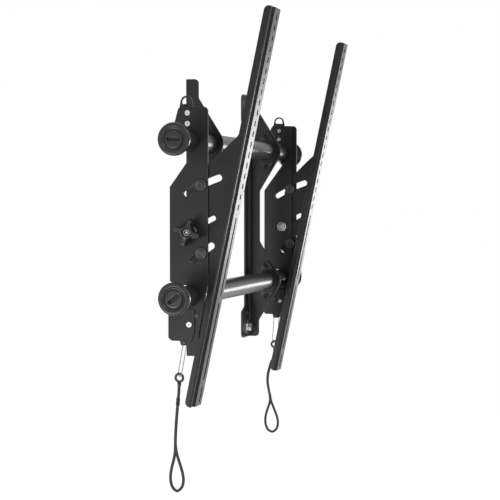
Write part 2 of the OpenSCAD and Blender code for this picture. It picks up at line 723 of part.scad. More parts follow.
// Folded latch that straddles both plates and closes behind the lower tube
module latch() color(black_steel) {
    low = -tube_z;
    y_back = tube_y + hanger_back + free_gap;
    difference() {
        union() {
            sheet(cheek_in, latch_t) cheek_outline();
            sheet(cheek_out, latch_t) cheek_outline();
            translate([cheek_in, y_back, low - 73]) cube([saddle_w, latch_t, 53]);
        }
        bar(cheek_in - 1, cheek_in + saddle_w + 1, latch_rivet_at, bright_r + fit_gap);
        bar(cheek_in - 1, cheek_in + saddle_w + 1, pull_pin_at, pull_pin_r + fit_gap);
        for (dz = [0, latch_travel])
            bar(cheek_in - 1, cheek_in + latch_t + 0.2, guide_pin_at + [0, dz], guide_pin_r + free_gap);
        translate([cheek_in - 1, guide_pin_at[0] - guide_pin_r - free_gap, guide_pin_at[1]])
            cube([latch_t + 1.2, 2 * (guide_pin_r + free_gap), latch_travel]);
    }
    bar(spring_x - 3, cheek_in, spring_low, spring_post_r);
}

module pull_pin() color(bright_steel) {
    bar(cheek_in, cheek_in + saddle_w, pull_pin_at, pull_pin_r);
    bar(cheek_in - 1, cheek_in, pull_pin_at, pull_pin_r + 1);
    bar(cheek_in + saddle_w, cheek_in + saddle_w + 1, pull_pin_at, pull_pin_r + 1);
}

// Ring of points about p, square to the direction d, for a swept round section
function ring_points(p, d, r, n) = let (
    w = unit(d),
    side = abs(w[0]) < 0.9 ? unit(cross(w, [1, 0, 0])) : unit(cross(w, [0, 1, 0])),
    up = cross(side, w)
) [for (i = [0:n - 1]) p + r * (cos(360 * i / n) * side + sin(360 * i / n) * up)];

// Closed tube with n sides that follows a list of points
module swept_tube(path, radii, n) {
    m = len(path);
    rings = [for (i = [0:m - 1])
        ring_points(path[i], path[min(i + 1, m - 1)] - path[max(i - 1, 0)], radii[i], n)];
    sides = [for (i = [0:m - 2], j = [0:n - 1])
        [i * n + j, i * n + (j + 1) % n, (i + 1) * n + (j + 1) % n, (i + 1) * n + j]];
    first = [for (j = [n - 1:-1:0]) j];
    last = [for (j = [0:n - 1]) (m - 1) * n + j];
    polyhedron(points = [for (ring = rings) each ring], faces = concat([first], sides, [last]));
}

// Sideways directions along a path that never twist, for a round section swept in space
function steady(path, dirs) = [
    for (i = 0, u = unit(cross(dirs[0], [0, 0, 1])); i < len(path);
        i = i + 1, u = i < len(path) ? unit(u - dirs[i] * (u * dirs[i])) : u) u
];

// Coil spring whose end hooks close round a post on the guide plate and a post on the latch
module latch_spring() color(bright_steel) {
    turns = 9;
    steps = 10;
    sides = 6;
    coil_r = (spring_d - spring_wire) / 2;
    hook = spring_post_r + 0.25 + spring_wire / 2;
    z_top = spring_top[1] - hook - 2.2;
    z_low = spring_low[1] + hook + 2.2;
    upper = [for (a = [200:-30:-70]) [spring_x, spring_top[0] + hook * cos(a), spring_top[1] + hook * sin(a)]];
    coil = [for (i = [0:turns * steps]) let (a = 360 * i / steps - 90, f = i / (turns * steps))
        [spring_x + coil_r * cos(a), spring_top[0] + coil_r * sin(a), z_top + (z_low - z_top) * f]];
    lower = [for (a = [70:-30:-200]) [spring_x, spring_low[0] + hook * cos(a), spring_low[1] + hook * sin(a)]];
    path = concat(upper, coil, lower);
    m = len(path);
    dirs = [for (i = [0:m - 1]) unit(path[min(i + 1, m - 1)] - path[max(i - 1, 0)])];
    across = steady(path, dirs);
    rings = [for (i = [0:m - 1], j = [0:sides - 1])
        path[i] + spring_wire / 2 * (cos(360 * j / sides) * across[i]
            + sin(360 * j / sides) * cross(across[i], dirs[i]) * -1)];
    faces = [for (i = [0:m - 2], j = [0:sides - 1]) let (k = (j + 1) % sides)
        [i * sides + j, i * sides + k, (i + 1) * sides + k, (i + 1) * sides + j]];
    polyhedron(points = rings, faces = concat([[for (j = [sides - 1:-1:0]) j]], faces,
        [[for (j = [0:sides - 1]) (m - 1) * sides + j]]));
}

// Long wire loop: its top bends over the pull pin and its foot holds the cord's eye
function wire_top_z() = pull_pin_at[1] + pull_pin_r + 0.2 - (wire_half - wire_d / 2);

module pull_wire(lean) color(bright_steel) {
    translate([layer_mid, pull_pin_at[0], pull_pin_at[1]]) rotate([lean, 0, 0])
    translate([0, 0, wire_top_z() - pull_pin_at[1]]) rotate([0, 0, wire_turn]) {
        for (s = [-1, 1]) translate([0, s * wire_half, -wire_len]) cylinder(h = wire_len, d = wire_d);
        for (end = [[0, 0], [-wire_len, 180]]) translate([0, 0, end[0]]) rotate([90 + end[1], 0, 90])
            rotate_extrude(angle = 180) translate([wire_half, 0]) circle(d = wire_d, $fn = 24);
    }
}

// Centre of the cord's eye in Y and Z, hung in the foot of the wire
function cord_eye_at(lean) = let (
    hang = pull_pin_at[1] - wire_top_z() + wire_len + wire_half - wire_d / 2
        + cord_eye_d / 2 - cord_eye_t - eye_sag
) pull_pin_at + hang * [sin(lean), -cos(lean)];

module cord_eye(lean) color(cord_black) {
    at = cord_eye_at(lean);
    translate([layer_mid, at[0], at[1]]) rotate([0, 90, 0]) rotate_extrude()
        translate([(cord_eye_d - cord_eye_t) / 2, 0]) circle(d = cord_eye_t, $fn = 32);
}

// Cord as one tube along its route; s turns the way back to either side of the way down
module pull_cord(route, lean, s) color(cord_black) {
    eye = cord_eye_at(lean);
    start = [eye[0], eye[1] - cord_eye_d / 2 - 0.1, 0];
    pts = concat([start], [for (i = [1:len(route) - 1]) route[i]]);
    n = len(pts);
    path = concat(
        [for (i = [0:n - 2]) for (t = i > 8 && i < 21 ? [0, 0.5] : [0]) let (q = spline_point(pts, i, t))
            [layer_mid + s * q[2], q[0], q[1]]],
        [[layer_mid + s * pts[n - 1][2], pts[n - 1][0], pts[n - 1][1]]]
    );
    swept_tube(path, [for (p = path) cord_d / 2], 8);
}

mirror([1, 0, 0]) wall_bracket();  // wall_bracket_left
wall_bracket();  // wall_bracket_right
mirror([1, 0, 0]) collar(1);  // collar_upper_left
collar(1);  // collar_upper_right
mirror([1, 0, 0]) collar(-1);  // collar_lower_left
collar(-1);  // collar_lower_right
mirror([1, 0, 0]) collar_screws();  // collar_screws_left
collar_screws();  // collar_screws_right
mirror([1, 0, 0]) anchor_bolts();  // anchor_bolts_left
anchor_bolts();  // anchor_bolts_right
tube(1);  // tube_upper
tube(-1);  // tube_lower
mirror([1, 0, 0]) end_cap(1, 2);  // end_cap_upper_left
end_cap(1, 65);  // end_cap_upper_right
mirror([1, 0, 0]) end_cap(-1, -38);  // end_cap_lower_left
end_cap(-1, 110);  // end_cap_lower_right
mirror([1, 0, 0]) hanger();  // hanger_left
hanger();  // hanger_right
mirror([1, 0, 0]) guide_plate();  // guide_plate_left
guide_plate();  // guide_plate_right
mirror([1, 0, 0]) hanger_rivet();  // hanger_rivet_left
hanger_rivet();  // hanger_rivet_right
mirror([1, 0, 0]) spacer_rivets();  // spacer_rivets_left
spacer_rivets();  // spacer_rivets_right
mirror([1, 0, 0]) latch_rivet();  // latch_rivet_left
latch_rivet();  // latch_rivet_right
mirror([1, 0, 0]) latch_guide_pin();  // latch_guide_pin_left
latch_guide_pin();  // latch_guide_pin_right
mirror([1, 0, 0]) tilt_rail();  // tilt_rail_left
tilt_rail();  // tilt_rail_right
mirror([1, 0, 0]) tilt_pin(upper_pin, false);  // tilt_pin_upper_left
tilt_pin(upper_pin, false);  // tilt_pin_upper_right
mirror([1, 0, 0]) tilt_pin(lower_pin, true);  // tilt_pin_lower_left
tilt_pin(lower_pin, true);  // tilt_pin_lower_right
mirror([1, 0, 0]) tension_bolt();  // tension_bolt_left
tension_bolt();  // tension_bolt_right
mirror([1, 0, 0]) knob_washer();  // knob_washer_left
knob_washer();  // knob_washer_right
mirror([1, 0, 0]) tension_knob();  // tension_knob_left
tension_knob();  // tension_knob_right
mirror([1, 0, 0]) knob_insert();  // knob_insert_left
knob_insert();  // knob_insert_right
mirror([1, 0, 0]) latch();  // latch_left
latch();  // latch_right
mirror([1, 0, 0]) pull_pin();  // pull_pin_left
pull_pin();  // pull_pin_right
mirror([1, 0, 0]) latch_spring();  // latch_spring_left
latch_spring();  // latch_spring_right
mirror([1, 0, 0]) pull_wire(wire_lean_left);  // pull_wire_left
pull_wire(wire_lean_right);  // pull_wire_right
mirror([1, 0, 0]) cord_eye(wire_lean_left);  // cord_eye_left
cord_eye(wire_lean_right);  // cord_eye_right
mirror([1, 0, 0]) pull_cord(cord_route_left, wire_lean_left, -1);  // pull_cord_left
pull_cord(cord_route_right, wire_lean_right, 1);  // pull_cord_right
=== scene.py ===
import logging
import math
from dataclasses import dataclass
from enum import Enum
from typing import Callable, ClassVar, Protocol, Sequence, Union

import bmesh
import bpy
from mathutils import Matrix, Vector


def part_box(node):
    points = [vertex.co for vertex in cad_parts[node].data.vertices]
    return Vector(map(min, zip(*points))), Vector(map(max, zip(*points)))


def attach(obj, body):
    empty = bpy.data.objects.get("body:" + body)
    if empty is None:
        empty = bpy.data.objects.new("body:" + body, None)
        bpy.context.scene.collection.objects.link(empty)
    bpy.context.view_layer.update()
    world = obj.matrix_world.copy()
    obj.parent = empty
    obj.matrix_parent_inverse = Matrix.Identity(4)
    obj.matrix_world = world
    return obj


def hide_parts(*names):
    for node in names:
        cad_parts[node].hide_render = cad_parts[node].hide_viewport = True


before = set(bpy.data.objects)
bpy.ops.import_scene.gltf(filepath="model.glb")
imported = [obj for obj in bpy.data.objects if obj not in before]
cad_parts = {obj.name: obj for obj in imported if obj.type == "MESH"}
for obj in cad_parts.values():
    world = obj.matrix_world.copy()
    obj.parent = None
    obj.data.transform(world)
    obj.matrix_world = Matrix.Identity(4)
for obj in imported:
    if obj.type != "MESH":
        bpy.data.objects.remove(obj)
log = logging.getLogger("wall_mount")

Point = tuple[float, float, float]
Colour = tuple[float, float, float]
Socket = bpy.types.NodeSocket
Tone = Union[Colour, Socket]
Span = tuple[float, float]
Profile = tuple[Span, ...]
Radius = Callable[[float], float]
Ring = tuple[Radius, float]

WHITE = (1.0, 1.0, 1.0, 1.0)
NOISE_LOW, NOISE_HIGH = 0.3, 0.7
EDGE_SAMPLES, HOLLOW_SAMPLES = 6, 8


class Side(Enum):
    """Left or right half of the mount, as the sign of its X."""

    LEFT = -1
    RIGHT = 1

    @property
    def word(self) -> str:
        """The side's word in the names of the CAD nodes."""
        return self.name.lower()


def stand(name: str, data: bpy.types.ID) -> bpy.types.Object:
    """Makes an object and puts it in the scene.

    Args:
        name: The object's name.
        data: Its mesh, lamp or camera.

    Returns:
        The object.
    """
    made = bpy.data.objects.new(name, data)
    bpy.context.scene.collection.objects.link(made)
    return made


class Nodes:
    """A node tree and short ways to add to it."""

    def __init__(self, tree: bpy.types.NodeTree) -> None:
        """Keeps the tree.

        Args:
            tree: The tree that gets the nodes.
        """
        self.tree = tree

    def add(self, kind: str, inputs: dict | None = None, **settings: object) -> bpy.types.Node:
        """Adds a node.

        Args:
            kind: The node's type without its ShaderNode prefix.
            inputs: Values, or output sockets to join, by the input's name or number.
            settings: Values for the node's own properties.

        Returns:
            The new node.
        """
        node = self.tree.nodes.new("ShaderNode" + kind)
        for key, value in settings.items():
            setattr(node, key, value)
        for key, value in (inputs or {}).items():
            if isinstance(value, Socket):
                self.tree.links.new(value, node.inputs[key])
            else:
                node.inputs[key].default_value = value
        return node

    def larger(self, one: Socket, two: Socket) -> Socket:
        """The larger of two values.

        Args:
            one: A value.
            two: Another.

        Returns:
            The result socket.
        """
        return self.add("Math", {0: one, 1: two}, operation="MAXIMUM").outputs[0]

    def ramp(self, factor: Socket, low: float, high: float, start: float, end: float) -> Socket:
        """Maps a factor from one range to another, clamped.

        Args:
            factor: Value to map.
            low: Factor that gives start.
            high: Factor that gives end.
            start: Result at low.
            end: Result at high.

        Returns:
            The result socket.
        """
        inputs = {"Value": factor, "From Min": low, "From Max": high, "To Min": start, "To Max": end}
        return self.add("MapRange", inputs).outputs[0]


class Shader(Nodes):
    """A new material and short ways to build its finish."""

    def __init__(self, name: str) -> None:
        """Makes the material, empty but for its output.

        Args:
            name: The material's name.
        """
        self.material = bpy.data.materials.new(name)
        self.material.use_nodes = True
        super().__init__(self.material.node_tree)
        self.tree.nodes.clear()
        self.output = self.add("OutputMaterial")

    def coordinates(self, stretch: Point = (1.0, 1.0, 1.0)) -> Socket:
        """Object coordinates in metres.

        Args:
            stretch: How many times finer the pattern runs along each axis.

        Returns:
            The vector socket.
        """
        place = self.add("TexCoord").outputs["Object"]
        return self.add("Mapping", {"Vector": place, "Scale": stretch}).outputs[0]

    def noise(self, vector: Socket, scale: float, detail: float) -> Socket:
        """Noise of about 1 / scale metres a feature.

        Args:
            vector: Coordinates it is read at.
            scale: Features per metre.
            detail: How many finer layers it has.

        Returns:
            The factor socket.
        """
        return self.add("TexNoise", {"Vector": vector, "Scale": scale, "Detail": detail}).outputs[0]

    def spread(self, noise: Socket, start: float, end: float) -> Socket:
        """Stretches the usual values of a noise over a range.

        Args:
            noise: The noise.
            start: Result where the noise is low.
            end: Result where it is high.

        Returns:
            The result socket.
        """
        return self.ramp(noise, NOISE_LOW, NOISE_HIGH, start, end)

    def mix(self, factor: Socket, first: Tone, second: Tone) -> Socket:
        """Blends two colours.

        Args:
            factor: 0 gives first and 1 gives second.
            first: Colour as red, green, blue, or a colour socket.
            second: The same for the other colour.

        Returns:
            The colour socket.
        """
        one, two = (tone if isinstance(tone, Socket) else (*tone, 1.0) for tone in (first, second))
        return self.add("Mix", {0: factor, 6: one, 7: two}, data_type="RGBA").outputs[2]

    def mottle(self, noise: Socket, first: Tone, second: Tone) -> Socket:
        """Blends two colours by a noise.

        Args:
            noise: The noise.
            first: Colour where it is low.
            second: Colour where it is high.

        Returns:
            The colour socket.
        """
        return self.mix(self.spread(noise, 0.0, 1.0), first, second)

    def rounded(self, radius: float) -> Socket:
        """The normal, rounded at edges.

        Args:
            radius: The rounding's radius in metres.

        Returns:
            The normal socket.
        """
        return self.add("Bevel", {"Radius": radius}, samples=EDGE_SAMPLES).outputs[0]

    def openness(self, reach: float) -> Socket:
        """How open a point is to the air.

        Args:
            reach: How far is looked, in metres.

        Returns:
            A factor, 0 in a deep hollow and 1 on a flat face.
        """
        return self.add("AmbientOcclusion", {"Distance": reach}, samples=HOLLOW_SAMPLES).outputs["AO"]

    def bump(self, height: Socket, distance: float, strength: float, base: Socket | None = None) -> Socket:
        """Turns a height into a normal.

        Args:
            height: Height from 0 to 1.
            distance: Height in metres that 1 stands for.
            strength: How strongly it shows.
            base: Normal to start from.

        Returns:
            The normal socket.
        """
        inputs = {"Height": height, "Distance": distance, "Strength": strength}
        if base is not None:
            inputs["Normal"] = base
        return self.add("Bump", inputs).outputs[0]

    def finish(self, **inputs: object) -> bpy.types.Material:
        """Adds the main shader and joins it to the output.

        Args:
            inputs: The shader's inputs by name, with _ for a space.

        Returns:
            The finished material.
        """
        named = {key.replace("_", " "): value for key, value in inputs.items()}
        surface = self.add("BsdfPrincipled", named)
        self.tree.links.new(surface.outputs[0], self.output.inputs["Surface"])
        return self.material


class Finish(Protocol):
    """What every finish has: a name and a way to make its material."""

    name: str

    def make(self) -> bpy.types.Material:
        """The material."""


@dataclass(frozen=True)
class PowderCoat:
    """Satin black coat on sheet steel: fine orange peel, pale edges that are partly wear and partly painted
    highlight, a little dust, and painted shade in its hollows.
    """

    name: str
    dark: Colour = (0.016, 0.016, 0.017)
    light: Colour = (0.024, 0.024, 0.025)
    # Pale edge colour: partly rubbed wear, partly a painted highlight along the edges.
    edge: Colour = (0.16, 0.16, 0.165)
    # Colour of the painted shade in hollows and creases.
    depth: Colour = (0.004, 0.004, 0.004)
    roughness: Span = (0.36, 0.46)
    specular: float = 0.3
    peel: float = 0.000004
    edge_radius: float = 0.0007
    hollow: float = 0.004
    shade: Span = (0.35, 0.8)
    shaded_specular: float = 0.02
    edge_turn: Span = (0.999, 0.93)
    edge_patches: Span = (0.35, 0.65)
    edge_least: float = 0.35
    clouds: float = 22.0
    grains: float = 1500.0
    specks: float = 420.0
    speck_range: Span = (0.72, 0.8)
    dust: float = 0.1

    def make(self) -> bpy.types.Material:
        """The material."""
        s = Shader(self.name)
        place = s.coordinates()
        cloud = s.noise(place, self.clouds, 4.0)
        grain = s.noise(place, self.grains, 2.0)
        speck = s.noise(place, self.specks, 1.0)
        rounded = s.rounded(self.edge_radius)
        flat = s.add("NewGeometry").outputs["Normal"]
        turn = s.add("VectorMath", {0: rounded, 1: flat}, operation="DOT_PRODUCT").outputs["Value"]
        # Edge mask where the rounded normal turns: partly wear, partly a painted highlight on the edges.
        at_edge = s.ramp(turn, *self.edge_turn, 0.0, 1.0)
        patchy = s.ramp(cloud, *self.edge_patches, self.edge_least, 1.0)
        worn_and_lit_edge = s.add("Math", {0: at_edge, 1: patchy}, operation="MULTIPLY").outputs[0]
        body = s.mottle(cloud, self.dark, self.light)
        dusty = s.mix(s.ramp(speck, *self.speck_range, 0.0, self.dust), body, self.edge)
        tone = s.mix(worn_and_lit_edge, dusty, self.edge)
        # Painted shade: the colour darkens to depth in hollows, by ambient occlusion.
        openness = s.openness(self.hollow)
        return s.finish(
            Base_Color=s.mix(s.ramp(openness, *self.shade, 0.0, 1.0), self.depth, tone),
            Roughness=s.spread(grain, *self.roughness),
            Specular_IOR_Level=s.ramp(openness, *self.shade, self.shaded_specular, self.specular),
            Normal=s.bump(grain, self.peel, 0.7, rounded),
        )


@dataclass(frozen=True)
class TubeCoat:
    """Smooth graphite coat on a drawn tube, with faint lines along it."""

    name: str = "tube_coat"
    dark: Colour = (0.035, 0.035, 0.037)
    light: Colour = (0.045, 0.045, 0.047)
    roughness: Span = (0.27, 0.34)
    metal: float = 0.1
    specular: float = 0.35
    relief: float = 0.000004
    line_stretch: Point = (0.01, 1.0, 1.0)
    line_scale: float = 500.0
    clouds: float = 14.0

    def make(self) -> bpy.types.Material:
        """The material."""
        s = Shader(self.name)
        lines = s.noise(s.coordinates(self.line_stretch), self.line_scale, 2.0)
        cloud = s.noise(s.coordinates(), self.clouds, 2.0)
        return s.finish(
            Base_Color=s.mottle(cloud, self.dark, self.light),
            Metallic=self.metal,
            Specular_IOR_Level=self.specular,
            Roughness=s.spread(lines, *self.roughness),
            Normal=s.bump(lines, self.relief, 0.4),
        )


@dataclass(frozen=True)
class MouldedPlastic:
    """Black moulded plastic with a fine spark texture and painted shade in its hollows."""

    name: str
    base: Colour = (0.016, 0.016, 0.017)
    pale: Colour = (0.026, 0.026, 0.028)
    # Colour of the painted shade in hollows.
    depth: Colour = (0.002, 0.002, 0.002)
    roughness: Span = (0.29, 0.42)
    specular: float = 0.45
    grain: float = 0.00001
    edge_radius: float = 0.0006
    hollow: float = 0.005
    shade: Span = (0.45, 0.9)
    shaded_specular: float = 0.04
    sparks: float = 2200.0
    clouds: float = 60.0

    def make(self) -> bpy.types.Material:
        """The material."""
        s = Shader(self.name)
        place = s.coordinates()
        spark = s.noise(place, self.sparks, 2.0)
        cloud = s.noise(place, self.clouds, 3.0)
        # Painted shade: the colour darkens to depth in hollows, by ambient occlusion.
        openness = s.openness(self.hollow)
        moulded = s.mottle(cloud, self.base, self.pale)
        return s.finish(
            Base_Color=s.mix(s.ramp(openness, *self.shade, 0.0, 1.0), self.depth, moulded),
            Roughness=s.spread(spark, *self.roughness),
            Specular_IOR_Level=s.ramp(openness, *self.shade, self.shaded_specular, self.specular),
            Normal=s.bump(spark, self.grain, 0.6, s.rounded(self.edge_radius)),
        )


@dataclass(frozen=True)
class ZincPlate:
    """Bright plate on screws, washers and wire, with soft blotches, and painted shade in its hollows if
    asked.
    """

    name: str = "zinc_plate"
    base: Colour = (0.5, 0.51, 0.52)
    pale: Colour = (0.7, 0.71, 0.72)
    roughness: Span = (0.24, 0.33)
    # How strongly the hollows get painted shade, and the colour of that shade.
    hollow_shade: float = 0.0
    hollow_shade_tone: Colour = (0.05, 0.05, 0.052)
    relief: float = 0.000006
    edge_radius: float = 0.0004
    hollow: float = 0.004
    shade: Span = (0.45, 0.95)
    blotches: float = 260.0
    grains: float = 1800.0

    def make(self) -> bpy.types.Material:
        """The material."""
        s = Shader(self.name)
        place = s.coordinates()
        blotch = s.noise(place, self.blotches, 3.0)
        grain = s.noise(place, self.grains, 2.0)
        plated = s.mottle(blotch, self.base, self.pale)
        # Painted shade: darkens the plate in hollows, by ambient occlusion.
        hollow_shading = s.ramp(s.openness(self.hollow), *self.shade, self.hollow_shade, 0.0)
        return s.finish(
            Base_Color=s.mix(hollow_shading, plated, self.hollow_shade_tone),
            Metallic=1.0,
            Roughness=s.spread(blotch, *self.roughness),
            Normal=s.bump(grain, self.relief, 0.5, s.rounded(self.edge_radius)),
        )


@dataclass(frozen=True)
class TurnedBlack:
    """Blackened steel turned on a lathe about X, so that it draws the light into a streak."""

    name: str = "turned_black"
    dark: Colour = (0.03, 0.03, 0.031)
    light: Colour = (0.05, 0.05, 0.052)
    roughness: Span = (0.26, 0.36)
    specular: float = 0.6
    streak: float = 0.8
    relief: float = 0.000003
    edge_radius: float = 0.0006
    blotches: float = 300.0
    grains: float = 1700.0

    def make(self) -> bpy.types.Material:
        """The material."""
        s = Shader(self.name)
        place = s.coordinates()
        blotch = s.noise(place, self.blotches, 3.0)
        grain = s.noise(place, self.grains, 2.0)
        return s.finish(
            Base_Color=s.mottle(blotch, self.dark, self.light),
            Roughness=s.spread(grain, *self.roughness),
            Specular_IOR_Level=self.specular,
            Anisotropic=self.streak,
            Tangent=s.add("Tangent", direction_type="RADIAL", axis="X").outputs[0],
            Normal=s.bump(grain, self.relief, 0.5, s.rounded(self.edge_radius)),
        )


@dataclass(frozen=True)
class BraidedCord:
    """Black braided cord: its yarns cross in two directions and shine a little, with painted shade in the
    creases between them.
    """

    name: str = "braided_cord"
    base: Colour = (0.008, 0.008, 0.009)
    pale: Colour = (0.045, 0.045, 0.048)
    sheen: float = 0.2
    fuzz: float = 4000.0
    relief: float = 0.00008

    def make(self) -> bpy.types.Material:
        """The material."""
        s = Shader(self.name)
        height = s.add("Attribute", attribute_name=Skin.HEIGHTS).outputs["Fac"]
        fuzz = s.noise(s.coordinates(), self.fuzz, 2.0)
        return s.finish(
            # Painted shade: darker where the braid sinks between its yarns, paler on the yarn crowns.
            Base_Color=s.mix(s.ramp(height, 0.1, 0.9, 0.0, 1.0), self.base, self.pale),
            Roughness=s.spread(fuzz, 0.5, 0.75),
            Sheen_Weight=self.sheen,
            Normal=s.bump(fuzz, self.relief, 0.6),
        )


# Their pale edge colours are partly wear and partly painted highlight, brightest on the rails.
HANGER_COAT = PowderCoat("hanger_coat", edge=(0.3, 0.3, 0.31))
RAIL_COAT = PowderCoat("rail_coat", dark=(0.03, 0.03, 0.031), light=(0.042, 0.042, 0.044),
                       edge=(0.45, 0.45, 0.46), roughness=(0.26, 0.36), specular=0.2, edge_radius=0.0004)
SCREW_BLACK = PowderCoat("screw_black", roughness=(0.26, 0.36), edge=(0.1, 0.1, 0.1))
CAP_BLACK = MouldedPlastic("cap_black", roughness=(0.22, 0.35))
KNOB_BLACK = MouldedPlastic("knob_black", base=(0.02, 0.02, 0.021), pale=(0.03, 0.03, 0.032),
                            roughness=(0.23, 0.36))
EYE_BLACK = MouldedPlastic("cord_eye_black")
# The bolt and the insert are given strong painted shade in their hollows.
BOLT_STEEL = ZincPlate("bolt_steel", base=(0.6, 0.61, 0.62), pale=(0.85, 0.86, 0.87),
                       roughness=(0.16, 0.25), hollow_shade=0.9)
INSERT_STEEL = ZincPlate("insert_steel", base=(0.28, 0.28, 0.29), pale=(0.42, 0.42, 0.43),
                         roughness=(0.22, 0.31), hollow_shade=0.9)
WIRE_STEEL = ZincPlate("wire_steel", base=(0.2, 0.2, 0.21), pale=(0.34, 0.34, 0.35), roughness=(0.2, 0.29))
THREAD = BraidedCord("binding_thread", pale=(0.03, 0.03, 0.032))


class Paint:
    """Puts finishes on CAD nodes and on new pieces, one material for each finish."""

    def __init__(self) -> None:
        """Starts with no material made."""
        self.made: dict[str, bpy.types.Material] = {}

    def get(self, finish: Finish) -> bpy.types.Material:
        """The finish's material, made once.

        Args:
            finish: The finish.

        Returns:
            The material.
        """
        if finish.name not in self.made:
            self.made[finish.name] = finish.make()
        return self.made[finish.name]

    def dress(self, finish: Finish, *nodes: str) -> None:
        """Gives CAD nodes a finish.

        Args:
            finish: The finish.
            nodes: Names of CAD nodes.
        """
        for name in nodes:
            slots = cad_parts[name].data.materials
            slots.clear()
            slots.append(self.get(finish))
            log.info("dressed %s in %s", name, finish.name)

    def piece(self, name: str, mesh: bpy.types.Mesh, finish: Finish, body: str,
              slot: str) -> bpy.types.Object:
        """Makes a new piece of the object.

        Args:
            name: The piece's name.
            mesh: Its mesh, in place.
            finish: Its finish.
            body: The CAD body that it rides on.
            slot: Name of a material slot of its finish; not used.

        Returns:
            The piece.
        """
        mesh.materials.append(self.get(finish))
        made = stand(name, mesh)
        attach(made, body)
        log.info("made %s on %s with %d faces", name, body, len(mesh.polygons))
        return made


class Skin:
    """Meshes made of rings of equal size that are joined one after the other."""

    HEIGHTS: ClassVar[str] = "yarn"

    @staticmethod
    def mesh(name: str, points: Sequence[Vector], faces: Sequence[tuple[int, ...]]) -> bpy.types.Mesh:
        """A smooth shaded mesh with its faces turned outwards.

        Args:
            name: The mesh's name.
            points: Its points.
            faces: Numbers of the points of each face.

        Returns:
            The mesh.
        """
        mesh = bpy.data.meshes.new(name)
        mesh.from_pydata([tuple(point) for point in points], [], faces)
        work = bmesh.new()
        work.from_mesh(mesh)
        bmesh.ops.recalc_face_normals(work, faces=work.faces)
        work.to_mesh(mesh)
        work.free()
        mesh.shade_smooth()
        return mesh

    @staticmethod
    def closed(name: str, rings: Sequence[Sequence[Vector]], heights: Sequence[float] = ()) -> bpy.types.Mesh:
        """A closed skin over rings, with a cap at each end.

        Args:
            name: The mesh's name.
            rings: Rings of points, all with the same number of points.
            heights: A value for each point, kept in the attribute that the cord's finish reads.

        Returns:
            The mesh.
        """
        around = len(rings[0])
        points = [point for ring in rings for point in ring]
        faces = []
        for i in range(len(rings) - 1):
            for j in range(around):
                k = (j + 1) % around
                faces.append((i * around + j, i * around + k, (i + 1) * around + k, (i + 1) * around + j))
        last = (len(rings) - 1) * around
        for start, ring, turn in ((0, rings[0], -1), (last, rings[-1], 1)):
            points.append(sum(ring, Vector()) / around)
            tip = len(points) - 1
            for j in range(around):
                pair = (start + j, start + (j + 1) % around)
                faces.append((*pair[::turn], tip))
        mesh = Skin.mesh(name, points, faces)
        if heights:
            data = mesh.attributes.new(Skin.HEIGHTS, "FLOAT", "POINT").data
            for i, value in enumerate([*heights, 0.0, 0.0]):
                data[i].value = value
        return mesh

    @staticmethod
    def hoop(name: str, centre: Vector, outward: float, profile: Sequence[Span],
             sides: int) -> bpy.types.Mesh:
        """A ring with a hole about an axis along X.

        Args:
            name: The mesh's name.
            centre: Point on the axis at height 0.
            outward: 1 or -1, the direction of rising height along X.
            profile: Radius and height of each point of its closed cross section.
            sides: Sections around the axis.

        Returns:
            The mesh.
        """
        points, faces, count = [], [], len(profile)
        for i in range(sides):
            a = math.tau * i / sides
            points += [centre + Vector((outward * h, r * math.cos(a), r * math.sin(a))) for r, h in profile]
            for j in range(count):
                k, after = (j + 1) % count, (i + 1) % sides * count
                faces.append((i * count + j, i * count + k, after + k, after + j))
        return Skin.mesh(name, points, faces)

    @staticmethod
    def turned(name: str, centre: Vector, outward: float, rings: Sequence[Ring],
               sides: int) -> bpy.types.Mesh:
        """A solid of rings about an axis along X.

        Args:
            name: The mesh's name.
            centre: Point on the axis at height 0.
            outward: 1 or -1, the direction of rising height along X.
            rings: For each ring its radius at every angle, and its height.
            sides: Points of a ring.

        Returns:
            The mesh.
        """
        angles = [math.tau * i / sides for i in range(sides)]
        shape = []
        for radius, height in rings:
            points = [(radius(a) * math.cos(a), radius(a) * math.sin(a)) for a in angles]
            shape.append([centre + Vector((outward * height, y, z)) for y, z in points])
        return Skin.closed(name, shape)

    @staticmethod
    def tube(name: str, path: Sequence[Vector], radii: Sequence[float], sides: int,
             relief: Callable[[int, int], float] | None = None, depth: float = 0.0) -> bpy.types.Mesh:
        """A tube along a path, with a frame that doesn't twist.

        Args:
            name: The mesh's name.
            path: Its centreline.
            radii: Its outer radius at each point of the path.
            sides: Points of a ring.
            relief: Height from 0 to 1 of the surface at a path point and a side.
            depth: How far the surface lies in where the relief is 0.

        Returns:
            The mesh.
        """
        last = len(path) - 1
        along = [(path[min(i + 1, last)] - path[max(i - 1, 0)]).normalized() for i in range(len(path))]
        side = along[0].orthogonal().normalized()
        rings, heights = [], []
        for i, (point, way, radius) in enumerate(zip(path, along, radii)):
            side = (side - way * side.dot(way)).normalized()
            other = way.cross(side)
            ring = []
            for j in range(sides):
                high = relief(i, j) if relief else 1.0
                angle = math.tau * j / sides
                reach = radius - depth * (1.0 - high)
                ring.append(point + (side * math.cos(angle) + other * math.sin(angle)) * reach)
                heights.append(high)
            rings.append(ring)
        return Skin.closed(name, rings, heights)

    @staticmethod
    def even(outline: Sequence[Span]) -> list[Ring]:
        """Round rings.

        Args:
            outline: Radius and height of each ring.

        Returns:
            The rings, each with a radius that is the same at every angle.
        """
        return [(lambda angle, r=radius: r, height) for radius, height in outline]

    @staticmethod
    def steps(radius: float, height: float, offsets: Profile) -> list[Span]:
        """Points of an outline near a corner.

        Args:
            radius: The corner's radius.
            height: The corner's height.
            offsets: How far each point lies from the corner, in radius and in height.

        Returns:
            Radius and height of each point.
        """
        return [(radius + out, height + up) for out, up in offsets]

